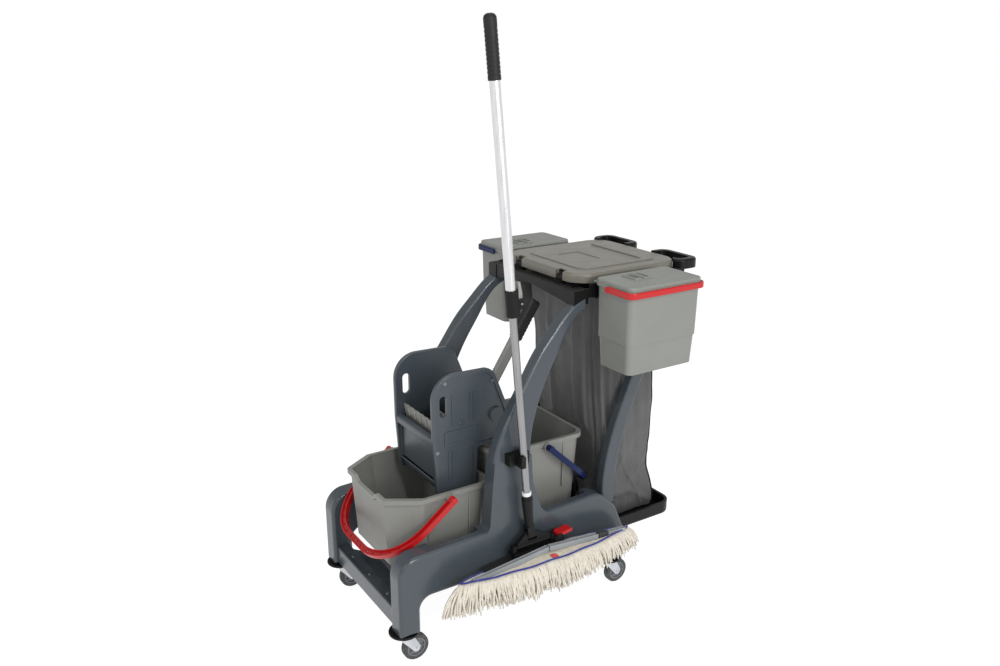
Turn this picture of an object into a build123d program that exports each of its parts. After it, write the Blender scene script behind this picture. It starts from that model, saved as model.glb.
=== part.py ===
from build123d import *
from math import atan2, cos, degrees, radians, sin, tan
import os

# Housekeeping cart: two moulded side frames on four swivel casters, two buckets one
# behind the other with a down-press wringer, a waste bag under a hinged lid with a
# lidded bin on each side, push handles at the rear and a flat mop clipped to one upright.
# Millimetres. +X runs from the wringer end to the bag end, +Y to the far side, +Z up.
# The origin is on the floor at the centre of the cart's box.

os.makedirs("parts", exist_ok=True)

# Running gear
WHEEL_R = 40.0
WHEEL_WIDTH = 22.0
HUB_R = 29.0
AXLE_R = 4.0
RUNNING = 0.05
SWIVEL_X = (-509.0, 229.0)
SWIVEL_Y = 221.0
TRAIL = 33.0
STEM_R = 6.0
STEM_TOP = 150.0
FORK_TOP = 88.0
BUMPER_R = 44.0
LEG_BOTTOM = 105.0

# Side frames
FRAME_OUT = 261.0
FRAME_IN = 199.0
UPRIGHT_IN = 215.0
WEB = 27.0
RAIL_TOP = 343.0
RAIL_UNDER = 212.0
SEAM_Z = 560.0
ARM_THICK = 42.0
ARM_LEAN = 4.2

# Buckets
BUCKET_X = (-505.0, -191.0)
BUCKET_HALF = 174.0
BUCKET_RIM = 466.0
BUCKET_FLOOR = 190.0
BUCKET_TAPER = 14.0
BUCKET_WALL = 3.5
BUCKET_STEP = (337.0, 0.0, 75.0)
RIM_LIP = 7.0
RIM_HIGH = 14.0
PIVOT = (-331.0, 0.0, 452.0)
PIVOT_R = 5.0
BAIL_HALF = 202.0
BAIL_REACH = 268.0
BAIL_CORNER = 155.0
BAIL_WIDE = 20.0
BAIL_DEEP = 16.0
FRONT_BAIL_DOWN = 37.0
REAR_BAIL_DOWN = 43.0

# Wringer
PLATE_OUT = 123.0
PLATE_IN = 109.0
SHAFT = (-136.0, 644.0)
SHAFT_R = 10.0
JAW_HINGE = (-224.0, 478.0)
LEVER_Y = -36.0
LEVER_UP = 57.0
LEVER_LENGTH = 357.0
LEVER_GRIP = 130.0

# Bag, lid and top frame
BAG_HALF = 175.0
LID_X = (94.0, 499.0)
LID_HALF = 201.0
LID_UNDER = 1018.5
LID_TOP = 1046.0
RAIL_Z = (985.0, 1012.0)
HINGE = (103.0, 1025.0)
HINGE_Y = 107.0
HINGE_PIN_R = 4.0

# Side bins
BIN_X = (126.0, 397.0)
BIN_Y = (235.0, 399.0)
BIN_RIM = 1036.0
BIN_FLOOR = 787.0
BIN_TAPER = 13.0
BIN_WALL = 3.0
BIN_PIVOT = (301.0, 1024.0)
BIN_BAIL_GAP = 1.8

# Mop
MOP_FOOT = (-134.0, -298.0, 334.0)
MOP_LEAN = -5.3
TUBE_R = 11.0
OUTER_R = 14.0
MOP_LENGTH = 1424.0
CLIP_S = 236.0
COLLAR_S = (664.0, 738.0)
PEDAL_PIN = (-36.0, 301.0)
WING_Y = (-332.0, -276.0)
WING_CENTRE = (-86.0, 286.0)
WING_ENDS = ((-346.0, 260.0), (207.0, 260.0))


def save(name, *solids):
    """Write one node from its solids."""
    shape = solids[0] if len(solids) == 1 else Compound(children=list(solids))
    export_step(shape, f"parts/{name}.step")


def xz_plane(y):
    """Drawing plane whose X and Y are the cart's X and Z, facing -Y at the given y."""
    return Plane(origin=(0, y, 0), x_dir=(1, 0, 0), z_dir=(0, -1, 0))


def rounded(points, radii):
    """Closed face through points with each corner rounded."""
    if not isinstance(radii, (list, tuple)):
        radii = [radii] * len(points)
    return make_face(FilletPolyline(*points, radius=list(radii), close=True))


def slab(face, y_low, y_high):
    """Extrude a face drawn in X and Z between two y values."""
    return extrude(xz_plane(y_high) * face, amount=y_high - y_low)


def block(x, y, z):
    """Plain box between two limits on each axis."""
    centre = [(low + high) / 2 for low, high in (x, y, z)]
    return Pos(*centre) * Box(x[1] - x[0], y[1] - y[0], z[1] - z[0])


def soft_block(x, y, z, radius):
    """Box whose vertical edges are rounded."""
    face = RectangleRounded(x[1] - x[0], y[1] - y[0], radius)
    return Pos((x[0] + x[1]) / 2, (y[0] + y[1]) / 2, z[0]) * extrude(face, amount=z[1] - z[0])


def rod(radius, start, end):
    """Round bar between two points."""
    line = Vector(*end) - Vector(*start)
    plane = Plane(origin=start, z_dir=line.normalized())
    return extrude(plane * Circle(radius), amount=line.length)


def ease(part, radius, axis=Axis.Y):
    """Round the rims of the two end faces of a plate."""
    ends = part.faces().sort_by(axis)
    rims = ends[0].edges() + ends[-1].edges()
    return fillet(rims, radius)


def ease_curves(part, radius):
    """Round only the long curved rims of a plate."""
    ends = part.faces().sort_by(Axis.Y)
    rims = ends[0].edges().sort_by(Edge.length)[-2:] + ends[-1].edges().sort_by(Edge.length)[-2:]
    return fillet(rims, radius)


def ease_top(part, radius):
    """Round the rim of the highest face."""
    return fillet(part.faces().sort_by(Axis.Z)[-1].edges(), radius)


def mirrored(part):
    """The same piece on the other side of the cart."""
    return mirror(part, about=Plane.XZ)


# ---------------------------------------------------------------- side frames

def side_frame():
    """Near side frame: two legs, the rail with its rear hump, and the upright's foot."""
    lower = [
        (-538, LEG_BOTTOM), (-538, RAIL_TOP), (150, 366), (222, 300), (262, 205), (262, LEG_BOTTOM),
        (188, LEG_BOTTOM), (188, RAIL_UNDER), (-474, RAIL_UNDER), (-474, LEG_BOTTOM),
    ]
    radii = [4, 62, 60, 45, 30, 4, 4, 38, 38, 4]
    rail = ease(slab(rounded(lower, radii), -FRAME_OUT, -FRAME_IN), 10)
    foot = [
        (-300, 336), (-246, 352), (-237, 470), (-229, SEAM_Z), (-104, SEAM_Z),
        (-98, 470), (-66, 372), (-20, 340),
    ]
    upright = slab(rounded(foot, [1, 26, 60, 1, 1, 60, 60, 1]), -FRAME_OUT, -UPRIGHT_IN)
    frame = rail + upright
    for x in ((-425, -264), (-72, 120)):
        frame -= soft_block(x, (-FRAME_OUT + WEB, -FRAME_IN + 40), (290, 400), 12)
    for x in SWIVEL_X:
        frame -= rod(STEM_R + RUNNING, (x, -SWIVEL_Y, LEG_BOTTOM - 1), (x, -SWIVEL_Y, STEM_TOP + 2))
    return frame


def front_arm():
    """Near front arm: rises from the upright's seam, leans inward and curves to the rear."""
    front = Spline((-232, 540), (-217, 604), (-125, 755), (-57, 854), (-14, 900), (44, 957), (100, 986))
    rear = Spline((100, 950), (72, 937), (5, 846), (-34, 781), (-72, 703), (-101, 604), (-106, 540))
    face = make_face([front, Line(front @ 1, rear @ 0), rear, Line(rear @ 1, front @ 0)])
    plate = ease_curves(slab(face, -ARM_THICK, 0), 8)
    seam = Pos(0, -FRAME_OUT + ARM_THICK, SEAM_Z) * Rot(-ARM_LEAN, 0, 0) * Pos(0, 0, -SEAM_Z) * plate
    return seam - block((-300, 200), (-300, -150), (500, SEAM_Z))


def rear_arm():
    """Near rear arm: rises from the rear hump, past the bag's side, to the top frame."""
    front = Spline((190, 300), (200, 440), (232, 560), (294, 711), (346, 850), (385, RAIL_Z[0]))
    rear = Spline((425, RAIL_Z[0]), (392, 850), (340, 711), (274, 540), (247, 430), (240, 300))
    face = make_face([front, Line(front @ 1, rear @ 0), rear, Line(rear @ 1, front @ 0)])
    return ease_curves(slab(face, -229, -195), 6)


# ---------------------------------------------------------------- base

def front_beam():
    """Angle-shaped beam between the front legs."""
    beam = block((-527, -489), (-FRAME_IN, FRAME_IN), (LEG_BOTTOM + 2, 166))
    beam = fillet(beam.edges().filter_by(Axis.Y).sort_by(Axis.X)[:2], 5)
    return beam - block((-520, -480), (-FRAME_IN, FRAME_IN), (LEG_BOTTOM, 159))


def base_spine():
    """Stepped spine under the buckets, flared where it meets the front beam."""
    half = 92.0
    plan = [
        (-488.7, -178), (-470, -150), (-430, -half), (163, -half),
        (163, half), (-430, half), (-470, 150), (-488.7, 178),
    ]
    steps = [
        (-488.7, 120), (-488.7, 158), (-445, 162), (-432, 189.5), (-176, 189.5), (-170, 264.5),
        (163, 264.5), (163, 200), (-160, 200), (-172, 130), (-480, 120),
    ]
    body = extrude(rounded(plan, [2, 30, 40, 2, 2, 40, 30, 2]), amount=300)
    spine = body & slab(rounded(steps, [1, 3, 8, 6, 6, 6, 3, 3, 6, 6, 1]), -200, 200)
    for x in (-400, -320, -240, -130, -40, 50):
        spine -= soft_block((x, x + 40), (-50, 50), (100, 300), 8)
    return spine


def bag_tray(frames):
    """Tray that carries the bag, with a raised rim and rounded rear corners."""
    outer = soft_block((164, 484), (-241, 241), (197, 240), 45)
    outer = fillet(outer.faces().sort_by(Axis.Z)[0].edges(), 10)
    inner = soft_block((173, 475), (-232, 232), (203, 260), 37)
    tray = outer - inner
    for frame in frames:
        tray -= frame
    solids = tray.solids().sort_by(SortBy.VOLUME)
    return solids[-1]


def corner_bumper(x, y):
    """Bumper disc clamped between a leg and its caster."""
    disc = Pos(x, y, LEG_BOTTOM - 8) * Cylinder(BUMPER_R, 8, align=(Align.CENTER, Align.CENTER, Align.MIN))
    disc = fillet(disc.edges().filter_by(GeomType.CIRCLE), 3)
    return disc - rod(STEM_R + RUNNING, (x, y, 90), (x, y, 110))


# ---------------------------------------------------------------- casters

def caster_fork(x, y):
    """Pressed fork with its swivel head, stem and riveted axle."""
    outline = [(-19, FORK_TOP), (21, FORK_TOP), (44, 44), (36, 29), (24, 32), (-12, 76)]
    cheek = rounded(outline, [3, 6, 10, 9, 9, 6])
    side = 13.0
    gauge = 2.5
    cheeks = slab(cheek, side, side + gauge) + slab(cheek, -side - gauge, -side)
    roof = block((-19, 21), (-side - gauge, side + gauge), (FORK_TOP - gauge, FORK_TOP))
    head = Pos(0, 0, FORK_TOP) * Cone(22, 16, 8, align=(Align.CENTER, Align.CENTER, Align.MIN))
    stem = rod(STEM_R, (0, 0, FORK_TOP), (0, 0, STEM_TOP))
    axle = rod(AXLE_R, (TRAIL, -side - gauge - 2, WHEEL_R), (TRAIL, side + gauge + 2, WHEEL_R))
    return Pos(x, y, 0) * (cheeks + roof + head + stem + axle)


def wheel_at(x, y, part):
    """Stand a wheel part, made about the Z axis, at a caster's axle."""
    return Pos(x + TRAIL, y, WHEEL_R) * Rot(90, 0, 0) * part


def wheel_hub():
    """Wheel centre with dished sides and a bore for the axle."""
    hub = Cylinder(HUB_R, WHEEL_WIDTH - 2)
    for side in (1, -1):
        dish = Pos(0, 0, side * (WHEEL_WIDTH / 2 - 1)) * Cylinder(HUB_R - 4, 10)
        hub -= dish - Cylinder(11, WHEEL_WIDTH)
        for turn in range(5):
            spoke = Box(HUB_R - 14, 3, 4.5, align=(Align.MIN, Align.CENTER, Align.CENTER))
            hub += Pos(0, 0, side * 6.5) * Rot(0, 0, turn * 72) * Pos(10.5, 0, 0) * spoke
    return hub - Cylinder(AXLE_R + RUNNING, WHEEL_WIDTH + 2)


def wheel_tyre():
    """Round-shouldered solid tyre."""
    tyre = Cylinder(WHEEL_R, WHEEL_WIDTH)
    tyre = fillet(tyre.edges().filter_by(GeomType.CIRCLE), 5)
    return tyre - Cylinder(HUB_R, WHEEL_WIDTH + 2)


# ---------------------------------------------------------------- buckets

def bucket_outline(inset):
    """Bucket outline in plan, all walls moved in by inset, with chamfered front corners."""
    low, high = BUCKET_X
    low += inset
    high -= inset
    half = BUCKET_HALF - inset
    points = [
        (low, -half + 56), (low + 92, -half), (high, -half),
        (high, half), (low + 92, half), (low, half - 56),
    ]
    return rounded(points, [12, 14, 34, 34, 14, 12])


def bucket_block(inset, floor):
    """Tapered bucket block with its front foot cut back."""
    top = Pos(0, 0, BUCKET_RIM) * bucket_outline(inset)
    base = Pos(0, 0, BUCKET_FLOOR) * bucket_outline(inset + BUCKET_TAPER)
    low = BUCKET_X[0]
    body = loft([base, top])
    undercut = Polyline((low - 20, 100), (low - 20, 252 + inset), (low + 12 + inset, 252 + inset),
                        (low + 68 + inset, 190 + inset), (low + 68 + inset, 100), close=True)
    body -= slab(make_face(undercut), -300, 300)
    return body - block((low - 10, 0), (-300, 300), (-1, floor))


def rim_band(depth, low=-RIM_HIGH, high=0.0):
    """Band that the rim follows, seen from the front: level, with a shallow pour dip."""
    top = BUCKET_RIM + high
    upper = [(-300, top), (-72, top), (-52, top - depth), (52, top - depth), (72, top), (300, top)]
    lower = [(y, z + low - high) for y, z in reversed(upper)]
    face = make_face(Polyline(*upper, *lower, close=True))
    plane = Plane(origin=(BUCKET_X[0] - 50, 0, 0), x_dir=(0, 1, 0), z_dir=(1, 0, 0))
    return extrude(plane * face, amount=420)


def bucket():
    """Front bucket: tapered tub with a rolled rim, pour dip, ribs and pivot bosses."""
    tub = bucket_block(0, 0) - bucket_block(BUCKET_WALL, BUCKET_FLOOR + 4)
    middle = sum(BUCKET_X) / 2
    face = bucket_outline(-RIM_LIP) - bucket_outline(BUCKET_WALL + 0.5)
    ring = Pos(0, 0, BUCKET_RIM - 40) * extrude(face, amount=40)
    front = block((BUCKET_X[0] - 60, middle), (-300, 300), (300, BUCKET_RIM))
    back = block((middle, BUCKET_X[1] + 60), (-300, 300), (300, BUCKET_RIM))
    lip = ((ring & rim_band(15)) & front) + ((ring & rim_band(0)) & back)
    tub -= rim_band(15, 0, 40) & block((BUCKET_X[0] - 60, middle), (-300, 300), (300, BUCKET_RIM + 40))
    tub += lip
    for side in (1, -1):
        x, _, z = PIVOT
        boss = rod(13, (x, side * (BUCKET_HALF - 8), z), (x, side * (BAIL_HALF - BAIL_WIDE / 2 - 1), z))
        bore = rod(PIVOT_R + RUNNING, (x, side * (BUCKET_HALF - 3), z), (x, side * BAIL_HALF, z))
        tub += boss - bucket_block(BUCKET_WALL, BUCKET_FLOOR + 4)
        tub -= bore
        for rib_x in (-395, -262):
            rib = block((rib_x - 2, rib_x + 2), (BUCKET_HALF - 14, BUCKET_HALF), (300, BUCKET_RIM - RIM_HIGH))
            rib = rib if side == 1 else mirrored(rib)
            tub += (rib - bucket_block(BUCKET_WALL, BUCKET_FLOOR)) & extrude(bucket_outline(-0.5), amount=500)
    return tub


def bail_region(grow):
    """Flat U of the bail about its pivot line, reaching along X, with large round corners."""
    outer = RectangleRounded(2 * (BAIL_REACH + grow), 2 * (BAIL_HALF + grow), BAIL_CORNER + grow)
    inner = RectangleRounded(2 * (BAIL_REACH - grow), 2 * (BAIL_HALF - grow), BAIL_CORNER - grow)
    return (outer - inner) & Rectangle(600, 600, align=(Align.MIN, Align.CENTER))


def bail():
    """Bucket bail: I-section strip with a row of holes, rounded ends and pivot pins."""
    strip = Pos(0, 0, -BAIL_DEEP / 2) * extrude(bail_region(BAIL_WIDE / 2), amount=BAIL_DEEP)
    groove = bail_region(BAIL_WIDE / 2 - 3.5)
    web = 2.5
    recess = BAIL_DEEP / 2 - web
    ahead = Pos(12, 0) * Rectangle(600, 600, align=(Align.MIN, Align.CENTER))
    for z in (web, -BAIL_DEEP / 2):
        strip -= Pos(0, 0, z) * extrude(groove & ahead, amount=recess)
    centre = BAIL_REACH - BAIL_CORNER
    flat = BAIL_HALF - BAIL_CORNER
    holes = [(BAIL_REACH, y) for y in (-34, -11, 11, 34)]
    for turn in (8, 20, 32, 44, 56):
        x = centre + BAIL_CORNER * cos(radians(turn))
        y = flat + BAIL_CORNER * sin(radians(turn))
        holes += [(x, y), (x, -y)]
    for x, y in holes:
        strip -= Pos(x, y, 0) * Cylinder(3.6, 2 * web + 1)
    for side in (1, -1):
        inner = side * (BAIL_HALF - BAIL_WIDE / 2)
        strip += rod(BAIL_DEEP / 2 + 2, (0, inner, 0), (0, side * (BAIL_HALF + BAIL_WIDE / 2), 0))
        strip += rod(PIVOT_R, (0, inner, 0), (0, side * (BUCKET_HALF + 1), 0))
    return strip


def front_bail():
    """Bail of the front bucket, hanging forward."""
    return Pos(*PIVOT) * Rot(0, -FRONT_BAIL_DOWN, 0) * Rot(0, 0, 180) * bail()


def rear_bail():
    """Bail of the rear bucket, hanging rearward."""
    x, y, z = (a + b for a, b in zip(PIVOT, BUCKET_STEP))
    return Pos(x, y, z) * Rot(0, REAR_BAIL_DOWN, 0) * bail()


# ---------------------------------------------------------------- wringer

SCREWS = [(-307, 772), (-150, 752), (-257, 640), (-335, 566), (-104, 580)]
PLATE_POINTS = [
    (-338, 432), (-349, 600), (-350, 798), (-148, 793), (-96, 662), (-80, 600), (-84, 556),
    (-200, 553), (-207, 432),
]
PLATE_RADII = [12, 60, 74, 46, 60, 30, 14, 6, 12]


def wringer_side():
    """Near side plate: bordered panel with ribs, a finger slot and the lever's boss."""
    outline = rounded(PLATE_POINTS, PLATE_RADII)
    plate = ease(slab(outline, -PLATE_OUT, -PLATE_IN), 3.5)
    field = offset(outline, amount=-13)
    plate -= slab(field, -PLATE_OUT - 1, -PLATE_OUT + 4)
    plate += slab(Pos(SHAFT[0], SHAFT[1]) * Circle(22), -PLATE_OUT - 3, -PLATE_IN)
    for x in (-282, -222, -208):
        plate += soft_rib(x, 640, 730)
    for x in (-296, -282, -222, -208):
        plate += soft_rib(x, 470, 560)
    plate += slab(Pos(-250, 600) * RectangleRounded(120, 46, 6), -PLATE_OUT + 1.5, -PLATE_OUT + 5)
    plate -= slab(Pos(-252, 600) * RectangleRounded(104, 30, 4), -PLATE_OUT, -PLATE_OUT + 2.8)
    plate -= slab(Pos(-312, 702) * RectangleRounded(24, 64, 11.5), -PLATE_OUT - 1, -PLATE_IN + 1)
    plate -= rod(SHAFT_R + RUNNING, (SHAFT[0], -PLATE_OUT + 4, SHAFT[1]), (SHAFT[0], -PLATE_IN + 1, SHAFT[1]))
    x, z = JAW_HINGE
    plate -= rod(5 + RUNNING, (x, -PLATE_OUT + 8, z), (x, -PLATE_IN + 1, z))
    for x, z in SCREWS:
        plate -= rod(3.0, (x, -PLATE_OUT - 1, z), (x, -PLATE_IN - 4, z))
    return plate


def soft_rib(x, low, high):
    """Raised vertical rib on the side plate's face."""
    face = Pos(x, (low + high) / 2) * RectangleRounded(6, high - low, 2.9)
    return slab(face, -PLATE_OUT + 1.5, -PLATE_OUT + 5)


def wringer_screw(x, z, side):
    """Pan-head screw in a side plate."""
    head = rod(5.5, (x, side * (PLATE_OUT + 0.2), z), (x, side * (PLATE_OUT - 4), z))
    shank = rod(2.9, (x, side * (PLATE_OUT - 4), z), (x, side * (PLATE_IN + 4.5), z))
    return head + shank


def front_panel():
    """Wringer front: rounded top bar over a recessed panel with a border at each side."""
    profile = [(-333, 474), (-333, 580), (-347, 584), (-348, 606), (-330, 611), (-324, 596), (-327, 474)]
    panel = slab(rounded(profile, [2, 5, 4, 8, 6, 6, 2]), -PLATE_IN, PLATE_IN)
    for y in (-104, 104):
        panel += block((-337, -330), (y - 5, y + 5), (474, 582))
    return panel


def back_panel():
    """Wringer back and floor: one bent sheet between the side plates, with drain slots."""
    path = [(-337, 469), (-322, 440), (-214, 440), (-206, 562), (-92, 565), (-98, 655)]
    wall = trace(Polyline(*path), line_width=5)
    panel = slab(wall, -PLATE_IN, PLATE_IN)
    for y in range(-90, 91, 20):
        panel -= block((-312, -224), (y - 4, y + 4), (430, 450))
    return panel


def corrugated(length, depth, pitch, height):
    """Corrugated press plate standing on the XY plane, ribs upright, facing -X."""
    plate = block((-depth, 0), (-length / 2, length / 2), (0, height))
    count = int(length // pitch)
    for step in range(count):
        y = -length / 2 + (step + 0.5) * length / count
        plate += Pos(-depth, y, height / 2) * Cylinder(5, height - 6)
    return plate


def front_jaw():
    """Fixed corrugated jaw leaning back from the front bar."""
    lean = -10
    jaw = corrugated(2 * PLATE_IN - 8, 5, 30, 192)
    return Pos(-291, 0, 452) * Rot(0, lean, 0) * Rot(0, 0, 180) * jaw


def press_jaw():
    """Moving corrugated jaw with its hinge barrel along the lower edge."""
    x, z = JAW_HINGE
    jaw = Pos(x, 0, z) * corrugated(2 * PLATE_IN - 8, 5, 30, 132)
    barrel = rod(8, (x, -PLATE_IN + 1, z), (x, PLATE_IN - 1, z))
    pins = rod(5, (x, -PLATE_OUT + 9, z), (x, PLATE_OUT - 9, z))
    return jaw + barrel + pins


def lever_shaft():
    """Cross shaft of the wringer with its two press cams."""
    shaft = rod(SHAFT_R, (SHAFT[0], -PLATE_OUT + 5, SHAFT[1]), (SHAFT[0], PLATE_OUT - 5, SHAFT[1]))
    cam = rounded([(-12, -16), (14, -16), (18, 12), (0, 20), (-16, 12)], [8, 8, 8, 8, 8])
    for y in (-80, 70):
        shaft += slab(Pos(*SHAFT) * cam, y, y + 10)
    return shaft


def lever_frame():
    """Location at the shaft with +Z along the lever."""
    return Pos(SHAFT[0], LEVER_Y, SHAFT[1]) * Rot(0, 90 - LEVER_UP, 0)


def lever_tube():
    """Flat lever tube with the socket that clamps the shaft."""
    bar = RectangleRounded(36, 18, 8)
    tube = extrude(bar, amount=LEVER_LENGTH - 20)
    hub = Rot(90, 0, 0) * Cylinder(24, 26)
    hub = fillet(hub.edges().filter_by(GeomType.CIRCLE), 3)
    lever = lever_frame() * (tube + hub)
    return lever - rod(SHAFT_R, (SHAFT[0], -100, SHAFT[1]), (SHAFT[0], 100, SHAFT[1]))


def lever_grip():
    """Moulded grip over the lever's end."""
    start = LEVER_LENGTH - LEVER_GRIP
    grip = extrude(RectangleRounded(42, 27, 12), amount=LEVER_GRIP)
    grip = fillet(grip.faces().sort_by(Axis.Z)[-1].edges(), 8)
    grip -= extrude(RectangleRounded(36, 18, 8), amount=LEVER_GRIP - 20)
    for step in range(8):
        ring = RectangleRounded(43, 28, 12) - RectangleRounded(39.5, 24.5, 11)
        grip -= Pos(0, 0, 14 + step * 12) * extrude(ring, amount=3)
    return lever_frame() * Pos(0, 0, start) * grip


# ---------------------------------------------------------------- bag end

def bag_section(x_low, x_high, half, radius, z):
    """One horizontal section of the bag."""
    face = RectangleRounded(x_high - x_low, 2 * half, radius)
    return Pos((x_low + x_high) / 2, 0, z) * face


def bag_block(inset):
    """The bag's outer form, every wall moved in by inset: pinched near its foot."""
    sections = [(236, 466, BAG_HALF - 4, 205), (229, 468, BAG_HALF - 2, 262), (226, 432, BAG_HALF - 3, 350),
                (212, 438, BAG_HALF, 560), (184, 444, BAG_HALF, 985)]
    faces = [bag_section(a + inset, b - inset, h - inset, 32, z) for a, b, h, z in sections]
    return loft(faces, ruled=True)


def waste_bag():
    """Open-topped fabric bag."""
    wall = 4.0
    hollow = bag_block(wall) - block((0, 600), (-300, 300), (0, 205 + wall))
    return bag_block(0) - hollow


def top_frame():
    """Bag frame: arched front crossbar, side rails, rear bar and the hoop that holds the bag."""
    bar = [
        (-209, 966), (-209, 1008), (-160, 1012), (160, 1012), (209, 1008),
        (209, 966), (178, 970), (0, 990), (-178, 970),
    ]
    face = rounded(bar, [4, 12, 60, 60, 12, 4, 20, 300, 20])
    plane = Plane(origin=(62, 0, 0), x_dir=(0, 1, 0), z_dir=(1, 0, 0))
    frame = extrude(plane * face, amount=24)
    for side in (1, -1):
        frame += side_rail() if side == -1 else mirrored(side_rail())
    frame += block((441, 470), (-224, 224), RAIL_Z)
    frame += soft_block((466, 524), (-9, 9), (1000, 1010), 4)
    frame += soft_block((516, 524), (-9, 9), (1000, 1026), 3)
    hoop = soft_block((176, 452), (-190, 190), (RAIL_Z[0], 1014), 40)
    hoop -= soft_block((186, 442), (-178, 178), (RAIL_Z[0] - 1, 1020), 34)
    frame += hoop
    for y in (-150, 150):
        frame += block((80, 182), (y - 12, y + 12), (992, 1010))
    for side in (1, -1):
        low = side * (HINGE_Y - 16)
        high = side * (HINGE_Y + 16)
        lug = block((84, 111), (min(low, high), max(low, high)), (1000, 1016))
        eye = rod(7, (HINGE[0], low, HINGE[1]), (HINGE[0], high, HINGE[1]))
        neck = block((HINGE[0] - 7, HINGE[0] + 7), (min(low, high), max(low, high)), (1005, HINGE[1]))
        frame += lug + neck + eye
        bore = HINGE_PIN_R + RUNNING
        frame -= rod(bore, (HINGE[0], low - side, HINGE[1]), (HINGE[0], high + side, HINGE[1]))
    return frame


def side_rail():
    """Near side rail that the bin hooks over, from the front arm's top to the rear bar."""
    rail = block((118, 390), (-229, -222), (RAIL_Z[0], BIN_RIM - 10.4))
    rail += block((100, 470), (-229, -222), RAIL_Z)
    front = block((60, 112), (-229, -186), (968, 1010))
    web = block((392, 470), (-229, -190), (RAIL_Z[0], RAIL_Z[1]))
    inner = block((176, 196), (-222, -178), (RAIL_Z[0], RAIL_Z[0] + 6))
    return rail + front + web + inner


def bag_lid():
    """Lid: shallow pan with a skirt, a blank label recess, a rear rib and hinge sleeves."""
    outer = soft_block(LID_X, (-LID_HALF, LID_HALF), (LID_UNDER, LID_TOP), 70)
    outer = ease_top(outer, 9)
    wall = 4
    inside = (-LID_HALF + wall, LID_HALF - wall)
    hollow = soft_block((LID_X[0] + wall, LID_X[1] - wall), inside, (LID_UNDER - 5, LID_TOP - wall), 66)
    lid = outer - hollow
    raised = Pos(300, 0, LID_TOP) * ease_top(extrude(RectangleRounded(300, 300, 40), amount=2.5), 1.5)
    lid += raised
    lid -= Pos(250, 0, LID_TOP + 1) * extrude(RectangleRounded(80, 120, 6), amount=3)
    lid += ease_top(soft_block((392, 402), (-120, 120), (LID_TOP - 1, LID_TOP + 6), 4), 2)
    for y in (-HINGE_Y, HINGE_Y):
        lid -= block((LID_X[0] - 5, HINGE[0] + 12), (y - 18, y + 18), (LID_UNDER - 5, LID_TOP + 5))
        sleeve = rod(HINGE_PIN_R, (HINGE[0], y - 21, HINGE[1]), (HINGE[0], y + 21, HINGE[1]))
        for low in (y - 23, y + 17.2):
            sleeve += slab(Pos(*HINGE) * Circle(6.4), low, low + 5.8)
            sleeve += block((HINGE[0] - 2, HINGE[0] + 5), (low, low + 5.8), (HINGE[1], LID_TOP - 2))
        lid += sleeve
    return lid


def push_handle(side):
    """D-shaped push handle: a deep-skirted loop."""
    y = (56.0, 222.0)
    outer = soft_block((470, 558), y, (1020, 1050), 34)
    inner = soft_block((486, 536), (y[0] + 22, y[1] - 22), (1000, 1070), 18)
    loop = fillet(outer.faces().sort_by(Axis.Z)[-1].edges(), 7) - inner
    foot = soft_block((453, 500), (y[0] + 4, y[1] - 4), (RAIL_Z[1], 1024), 8)
    loop += foot - inner
    loop -= soft_block((LID_X[0], LID_X[1] + 1.5), (-LID_HALF - 1.5, LID_HALF + 1.5), (1016.5, 1100), 71)
    return loop if side == 1 else mirrored(loop)


# ---------------------------------------------------------------- side bins

def bin_section(inset, z):
    """Near bin's horizontal section."""
    length = BIN_X[1] - BIN_X[0] - 2 * inset
    width = BIN_Y[1] - BIN_Y[0] - 2 * inset
    return Pos(sum(BIN_X) / 2, -sum(BIN_Y) / 2, z) * RectangleRounded(length, width, 20)


def bin_block(inset, floor):
    """Tapered bin block with a small ledge."""
    ledge = 874
    lower = loft([bin_section(inset + BIN_TAPER, BIN_FLOOR), bin_section(inset + 9.0, ledge)])
    upper = loft([bin_section(inset + 6.5, ledge), bin_section(inset + 4.0, BIN_RIM)])
    return (lower + upper) - block((0, 600), (-500, 0), (-1, floor))


def side_bin():
    """Near bin: tapered tub with a rim, a hook over the side rail and pivot bores."""
    tub = bin_block(0, 0) - bin_block(BIN_WALL, BIN_FLOOR + BIN_WALL)
    rim = Pos(0, 0, -10) * extrude(bin_section(0, BIN_RIM) - bin_section(4 + BIN_WALL, BIN_RIM), amount=10)
    tub += rim
    hook = block((140, 386), (-BIN_Y[0] - 4, -214), (BIN_RIM - 10, BIN_RIM - 5))
    hook += block((140, 386), (-218, -214), (992, BIN_RIM - 8))
    tub += hook
    y, z = BIN_PIVOT
    for x, inward in ((BIN_X[0], 1), (BIN_X[1], -1)):
        boss = rod(8, (x, -y, z), (x + inward * 9, -y, z))
        bore = rod(3 + RUNNING, (x - inward, -y, z), (x + inward * 6, -y, z))
        tub += boss
        tub -= bore
    return tub


def bin_lid():
    """Near bin's lid: shallow pan with a hinge barrel on its inner edge and two finger grips."""
    x = (BIN_X[0] + 1, BIN_X[1] - 1)
    y = (-BIN_Y[1] + 1, -BIN_Y[0] - 1)
    floor = BIN_RIM + 0.3
    lid = ease_top(soft_block(x, y, (floor, BIN_RIM + 10), 20), 4)
    lid -= soft_block((x[0] + 3, x[1] - 3), (y[0] + 3, y[1] - 3), (floor - 1, BIN_RIM + 6), 17)
    barrel = 3.7
    lid += rod(barrel, (x[0] + 16, y[1], floor + barrel), (x[1] - 16, y[1], floor + barrel))
    for grip_x in (200, 236):
        grip = ease_top(soft_block((grip_x, grip_x + 26), (-330, -262), (BIN_RIM + 8, BIN_RIM + 14), 9), 3)
        grip -= soft_block((grip_x + 5, grip_x + 21), (-322, -270), (BIN_RIM + 11, BIN_RIM + 20), 6)
        lid += grip
    return lid


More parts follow.
